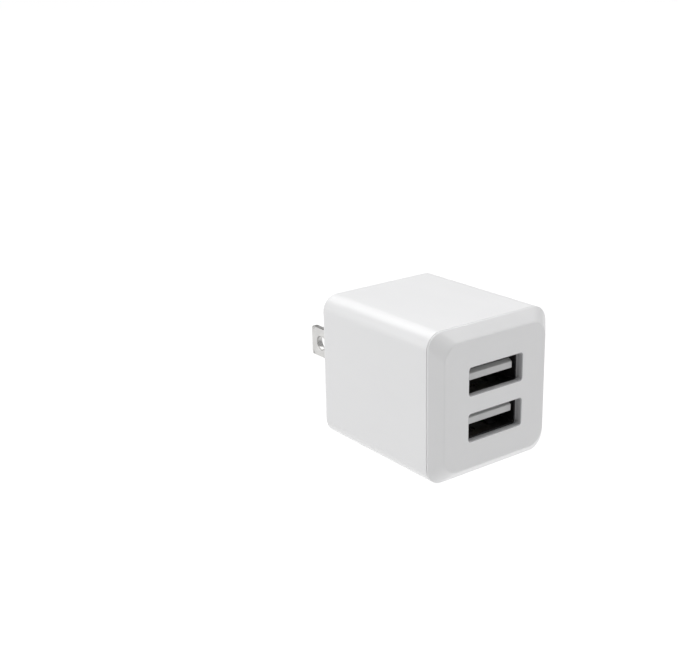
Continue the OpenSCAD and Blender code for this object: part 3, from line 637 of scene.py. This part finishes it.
cap = {
    "across": 30.0, "corner": 3.4, "bevelY": -32.8,
    "seamY": -32.5, "seamFront": -32.56, "seamRound": 0.07, "seamDeep": 0.45,
    "faceY": -35.0, "faceAcross": 25.6, "faceCorner": 3.5, "faceWall": 1.4,
    # the soft edges on both sides of the bevel: how far they reach, against the bevel's width
    "softSide": 0.18, "softFace": 0.28, "bevelWide": 2.6,
    "sideShare": 0.5, "faceShare": 0.7, "faceTighter": 0.35,
    "skirtAcross": 26.7, "skirtCorner": 1.75, "skirtBack": -28.5, "skirtWall": 1.2, "skirtInside": 0.8,
    "leadIn": 0.2, "leadLong": 0.3,
    "openWide": 13.5, "openTall": 5.5, "openCorner": 0.5, "openSoft": 0.16,
    "reliefAt": -34.1, "reliefWider": 0.3, "reliefStep": 0.02,
    "openings": (4.6, -4.6), "sockets": (4.2, -4.6),
    "collarWide": 13.2, "collarTall": 5.82, "collarWall": 0.9, "collarLong": 2.0,
    "collarCorner": 0.6, "collarSoft": 0.1, "collarRound": 1.2, "collarLead": 0.15,
    "hook": (8, 2.0, 0.9), "hookAt": -30.3,
}


# how the corner, the width and the depth change across the bevel, from the side (0) to the face (1)
def bevelRing(share):
    c = cap
    across = c["across"] + (c["faceAcross"] - c["across"]) * share
    corner = c["corner"] + (c["faceCorner"] - c["corner"]) * share
    return square(across, corner, c["bevelY"] + (c["faceY"] - c["bevelY"]) * share)


# the cap as one run of rings: along the skirt, over the seam and the bevel, to the edge of the face
def capRings():
    c = cap
    inner, lead = c["skirtAcross"] - 2 * c["skirtWall"], c["leadIn"]
    rings = [square(inner, c["skirtInside"], c["faceY"] + c["faceWall"]),
             square(inner, c["skirtInside"], c["skirtBack"]),
             square(c["skirtAcross"] - 2 * lead, c["skirtCorner"] - lead, c["skirtBack"]),
             square(c["skirtAcross"], c["skirtCorner"], c["skirtBack"] - c["leadLong"]),
             square(c["skirtAcross"], c["skirtCorner"], c["seamY"] + 3 * sliver)]
    land, landCorner = c["across"] - 2 * c["seamDeep"], c["corner"] - c["seamDeep"]
    rings += [square(land, landCorner, c["seamY"]), square(land, landCorner, c["seamFront"] + sliver)]
    rings += reversed(roundedEdge(*square(c["across"], c["corner"], c["seamFront"]), c["seamRound"], 1, 3))
    side = square(c["across"], c["corner"], c["bevelY"] + c["softSide"] * c["sideShare"])
    rings += easedRings(side, bevelRing(0), bevelRing(c["softSide"] / c["bevelWide"]))
    flat = c["faceAcross"] - 2 * c["softFace"] * c["faceShare"]
    face = square(flat, c["faceCorner"] - c["faceTighter"], c["faceY"])
    rings += easedRings(bevelRing(1 - c["softFace"] / c["bevelWide"]), bevelRing(1), face)
    return rings


# one port opening, with a soft edge at the front and a wider relief behind
def openingRings(back):
    c = cap
    wide, tall, corner, wider = c["openWide"], c["openTall"], c["openCorner"], c["reliefWider"]
    rings = list(reversed(roundedEdge(wide, tall, corner, c["faceY"], c["openSoft"], -1, 4, outward=False)))
    rings.append((wide, tall, corner, c["reliefAt"]))
    for y in (c["reliefAt"] + c["reliefStep"], back):
        rings.append((wide + wider, tall + wider, corner + wider / 2, y))
    return rings


# the collar that holds a socket's front, from its bore over its back edge and down its outside
def addCollar(bm, z, foot):
    c = cap
    back, wall, soft = foot + c["collarLong"], c["collarWall"], c["collarSoft"]
    lead = back - c["collarLead"]
    bore, outside = c["collarCorner"], c["collarRound"]
    # how much wider than the bore each ring is, its corner and its place; the ends sink into the face
    steps = ((0, bore, foot + 0.06), (0, bore, lead), (2 * soft, bore + soft, back),
             (2 * wall - 2 * soft, outside - soft, back + sliver), (2 * wall, outside, lead),
             (2 * wall, outside, foot - 0.02))
    rings = [(c["collarWide"] + wider, c["collarTall"] + wider, corner, y) for wider, corner, y in steps]
    collar = ringTube(bm, rings, 0.0, z, 4)
    bmesh.ops.bridge_loops(bm, edges=collar[-1] + collar[0])


# a snap hook on the skirt: a block whose back edge slopes down to the skirt
def addHook(bm, side):
    top = cap["skirtAcross"] / 2
    hook = bmesh.ops.create_cube(bm, size=1.0)["verts"]
    bmesh.ops.scale(bm, vec=cap["hook"], verts=hook)
    bmesh.ops.translate(bm, vec=(0, cap["hookAt"], top), verts=hook)
    for v in hook:
        if v.co.y > cap["hookAt"] and v.co.z > top:
            v.co.z = top
    if side < 0:
        bmesh.ops.scale(bm, vec=(1, 1, -1), verts=hook)


def makeCap():
    bm = bmesh.new()
    tube = ringTube(bm, capRings(), steps=12)
    faceBack = cap["faceY"] + cap["faceWall"]
    # the opening walls take the second finish, whose darker grey is painted shade
    before = set(bm.faces)
    holes = [ringTube(bm, openingRings(faceBack), 0.0, z, 4) for z in cap["openings"]]
    coatNew(bm, before)
    fillBetween(bm, [tube[-1]] + [hole[0] for hole in holes])
    fillBetween(bm, [tube[0]] + [hole[-1] for hole in holes])
    # the socket collars take the same painted shade
    before = set(bm.faces)
    for z in cap["sockets"]:
        addCollar(bm, z, faceBack)
    coatNew(bm, before)
    for side in (-1, 1):
        addHook(bm, side)
    return bm


finishPiece(makeCap(), "frontCap", "front_cap", ["white_cap", "mouth"])

blade = {
    "spread": 6.35, "thick": 1.5, "wide": 6.35, "long": 15.9, "tipRound": 0.9, "soft": 0.13,
    "wedge": 1.0, "wedgeShare": 0.5333,  # length of the tapered tip, and the share of the thickness it loses
    "shoulderWide": 8.35, "shoulderFrom": -4.35, "shoulderTo": -2.35, "tailWide": 4.4, "tailEnd": -7.55,
    "holeAt": 11.9, "holeRadius": 1.6, "holeSoft": 0.12, "holeSoftMiddle": 0.035, "holePatch": 2.3,
    "near": 0.01,
}


# flat blank with shoulders and a tail, rounded tips, a tapered end and soft edges
def makeBlank(middle):
    b = blade
    bm = bmesh.new()
    half, thin, tail, shoulder = b["wide"] / 2, b["thick"] / 2, b["tailWide"] / 2, b["shoulderWide"] / 2
    outline = [(b["tailEnd"], tail), (b["shoulderFrom"], tail), (b["shoulderFrom"], shoulder),
               (b["shoulderTo"], shoulder), (b["shoulderTo"], half), (b["long"], half)]
    outline += [(y, -z) for y, z in reversed(outline)]
    face = bm.faces.new([bm.verts.new((middle - thin, y, z)) for y, z in outline])
    tips = [v for v in face.verts if v.co.y > b["long"] - b["near"]]
    bmesh.ops.bevel(bm, geom=tips, offset=b["tipRound"], segments=8, profile=0.5, affect="VERTICES",
                    material=-1)
    pulled(bm, (b["thick"], 0, 0))
    bmesh.ops.recalc_face_normals(bm, faces=bm.faces)
    start = b["long"] - b["wedge"]
    bmesh.ops.bisect_plane(bm, geom=everything(bm), plane_co=(0, start, 0), plane_no=(0, 1, 0))
    for v in bm.verts:
        if v.co.y > start:
            share = 1 - b["wedgeShare"] * (v.co.y - start) / b["wedge"]
            v.co.x = middle + (v.co.x - middle) * share
    edges = [e for e in bm.edges if len(e.link_faces) == 2 and e.calc_face_angle() > 0.9]
    bmesh.ops.bevel(bm, geom=edges, offset=b["soft"], segments=3, profile=0.5, affect="EDGES", material=-1)
    return bm


# a square patch is cut round the hole on each face, then bridged to circles that lead into the hole
def pierce(bm, middle):
    b = blade
    patch, at, near = b["holePatch"], b["holeAt"], b["near"]
    cuts = [((0, at + way * patch, 0), (0, 1, 0)) for way in (-1, 1)]
    cuts += [((0, 0, way * patch), (0, 0, 1)) for way in (-1, 1)]
    for place, across in cuts:
        bmesh.ops.bisect_plane(bm, geom=everything(bm), plane_co=place, plane_no=across)
    upright = Matrix.Rotation(math.pi / 2, 4, "Y")
    thin, r, soft, mid = b["thick"] / 2, b["holeRadius"], b["holeSoft"], b["holeSoftMiddle"]
    circles = ((r + soft, thin), (r + mid, thin - mid), (r, thin - soft))
    ends = []
    for sign in (-1, 1):
        flats = [(f, f.calc_center_median()) for f in bm.faces if f.normal.x * sign > 0.99]
        patches = [f for f, centre in flats if abs(centre.z) < near and abs(centre.y - at) < near]
        loops = [[e for f in patches for e in f.edges]]
        bmesh.ops.delete(bm, geom=patches, context="FACES_ONLY")
        for radius, x in circles:
            place = Matrix.Translation((middle + sign * x, at, 0)) @ upright
            made = bmesh.ops.create_circle(bm, cap_ends=False, segments=48, radius=radius, matrix=place)
            loops.append(list({e for v in made["verts"] for e in v.link_edges}))
        bridgeRings(bm, loops)
        ends.append(loops[-1])
    bridgeRings(bm, ends)


for side, name, node in ((-1, "leftBlade", "left_blade"), (1, "rightBlade", "right_blade")):
    bladeMesh = makeBlank(side * blade["spread"])
    pierce(bladeMesh, side * blade["spread"])
    finishPiece(bladeMesh, name, node, ["blade_metal"])

tongue = {
    "across": 11.1, "thick": 1.84, "tip": -33.48, "solidTo": -32.68, "soft": 0.06,
    "grooves": (-3.5, -1.0, 1.0, 3.5), "grooveWide": 1.24, "grooveDeep": 0.98,
    "blockFrom": -25.28, "blockTo": -22.98, "blockWide": 12.4, "blockTall": 5.02,
    "blockSoft": 0.1, "blockCorner": 0.33, "blockCornerFront": 0.25,
    # across, low edge, high edge, corner radius, distance behind the tip
    "tipRings": ((10.78, 0.14, 1.24, 0.1, 0.0), (11.02, 0.03, 1.36, 0.13, 0.06), (11.1, 0.0, 1.46, 0.15, 0.2),
                 (11.1, 0.0, 1.84, 0.15, 0.8)),
}


# the part with four grooves under it, where the contacts lie
def addGroovedPart(bm, z):
    t = tongue
    half, side, deep = t["across"] / 2, t["grooveWide"] / 2, t["grooveDeep"]
    outline = [(-half, t["thick"]), (half, t["thick"]), (half, 0.0)]
    for x in reversed(t["grooves"]):
        outline += [(x + side, 0.0), (x + side, deep), (x - side, deep), (x - side, 0.0)]
    outline.append((-half, 0.0))
    bm.faces.new([bm.verts.new((x, t["solidTo"], z + up)) for x, up in outline])
    pulled(bm, (0, t["blockFrom"] - t["solidTo"], 0))
    long = [e for e in bm.edges if abs(e.verts[0].co.y - e.verts[1].co.y) > 1]
    bmesh.ops.bevel(bm, geom=long, offset=t["soft"], segments=2, profile=0.5, affect="EDGES", material=-1)


def makeTongue(z):
    t = tongue
    bm = bmesh.new()
    addGroovedPart(bm, z)
    tip = [newRing(bm, wide, high - low, r, t["tip"] + back, 0.0, z + (low + high) / 2, 3)
           for wide, low, high, r, back in t["tipRings"]]
    bridgeRings(bm, tip)
    wide, tall, soft, corner = t["blockWide"], t["blockTall"], t["blockSoft"], t["blockCorner"]
    block = ringTube(bm, [(wide - 2 * soft, tall - 2 * soft, t["blockCornerFront"], t["blockFrom"]),
                          (wide, tall, corner, t["blockFrom"] + soft), (wide, tall, corner, t["blockTo"])],
                     0.0, z, 3)
    for loop in (tip[0], tip[-1], block[0], block[-1]):
        bmesh.ops.edgeloop_fill(bm, edges=loop)
    return bm


tongueNames = (("upperTongue", "upper_usb_tongue"), ("lowerTongue", "lower_usb_tongue"))
for (name, node), z in zip(tongueNames, cap["sockets"]):
    finishPiece(makeTongue(z), name, node, ["tongue_plastic"])

# every other part keeps its shape and gets its own finish, or the one of its material slot
slots = {part["node"]: part["material_slot"] for part in frame["record"]["subparts"]}
for node, part in frame["nodes"].items():
    if part.hide_render:
        continue
    coat = finishes.get(node) or finishes[slots[node]]
    part.data.materials.clear()
    part.data.materials.append(coat)
print("finishes laid on the inner parts")

floorSet = {"across": 12.0, "height": -15.0, "colour": (0.06, 0.06, 0.06), "glow": 0.99}  # across in metres
floorMesh = bmesh.new()
bmesh.ops.create_grid(floorMesh, x_segments=1, y_segments=1, size=floorSet["across"] / 2)
bmesh.ops.translate(floorMesh, vec=(0, 0, floorSet["height"] * metre), verts=floorMesh.verts)
floorData = bpy.data.meshes.new("pale floor")
floorMesh.to_mesh(floorData)
floorMesh.free()
floor = bpy.data.objects.new("pale floor", floorData)
scene.collection.objects.link(floor)
floorFinish = bpy.data.materials.new("pale floor")
floorFinish.use_nodes = True
floorShader = floorFinish.node_tree.nodes["Principled BSDF"]
floorShader.inputs["Base Color"].default_value = (*floorSet["colour"], 1)
floorShader.inputs["Roughness"].default_value = 0.9
floorShader.inputs["Specular IOR Level"].default_value = 0.1
floorShader.inputs["Emission Color"].default_value = (1, 1, 1, 1)
floorShader.inputs["Emission Strength"].default_value = floorSet["glow"]
floorData.materials.append(floorFinish)

# the room lights the charger dimly, and looks white where it is seen past the floor
roomSet = {"light": 0.10, "seen": 1.0}
world = bpy.data.worlds.new("room")
world.use_nodes = True
roomTree = world.node_tree
background = roomTree.nodes["Background"]
background.inputs["Color"].default_value = (1, 1, 1, 1)
rayKind = roomTree.nodes.new("ShaderNodeLightPath")
strength = spread(roomTree, rayKind.outputs["Is Camera Ray"], roomSet["light"], roomSet["seen"], 0.0, 1.0)
link(roomTree, strength, background.inputs["Strength"])
scene.world = world

# each soft box faces the origin: its place and side in metres, and the share of white that it gives
softBoxes = {
    "top box": {"place": (0.08, 0.22, 1.20), "size": 1.8, "level": 1.89},
    "left box": {"place": (-1.05, 0.65, 0.18), "size": 0.8, "level": 0.34},
    "corner box": {"place": (-0.50, -0.72, 0.79), "size": 0.26, "level": 0.045},
    "front box": {"place": (0.85, -0.65, 0.08), "size": 0.7, "level": 0.17},
}
for name, box in softBoxes.items():
    lamp = bpy.data.lights.new(name, "AREA")
    lamp.shape = "SQUARE"
    lamp.size = box["size"]
    place = Vector(box["place"])
    lamp.energy = box["level"] * math.pi ** 2 * place.length_squared
    lampObject = bpy.data.objects.new(name, lamp)
    aim = place.to_track_quat("Z", "Y").to_matrix().to_4x4()
    lampObject.matrix_world = Matrix.Translation(place) @ aim
    scene.collection.objects.link(lampObject)
print("stage and lights set")
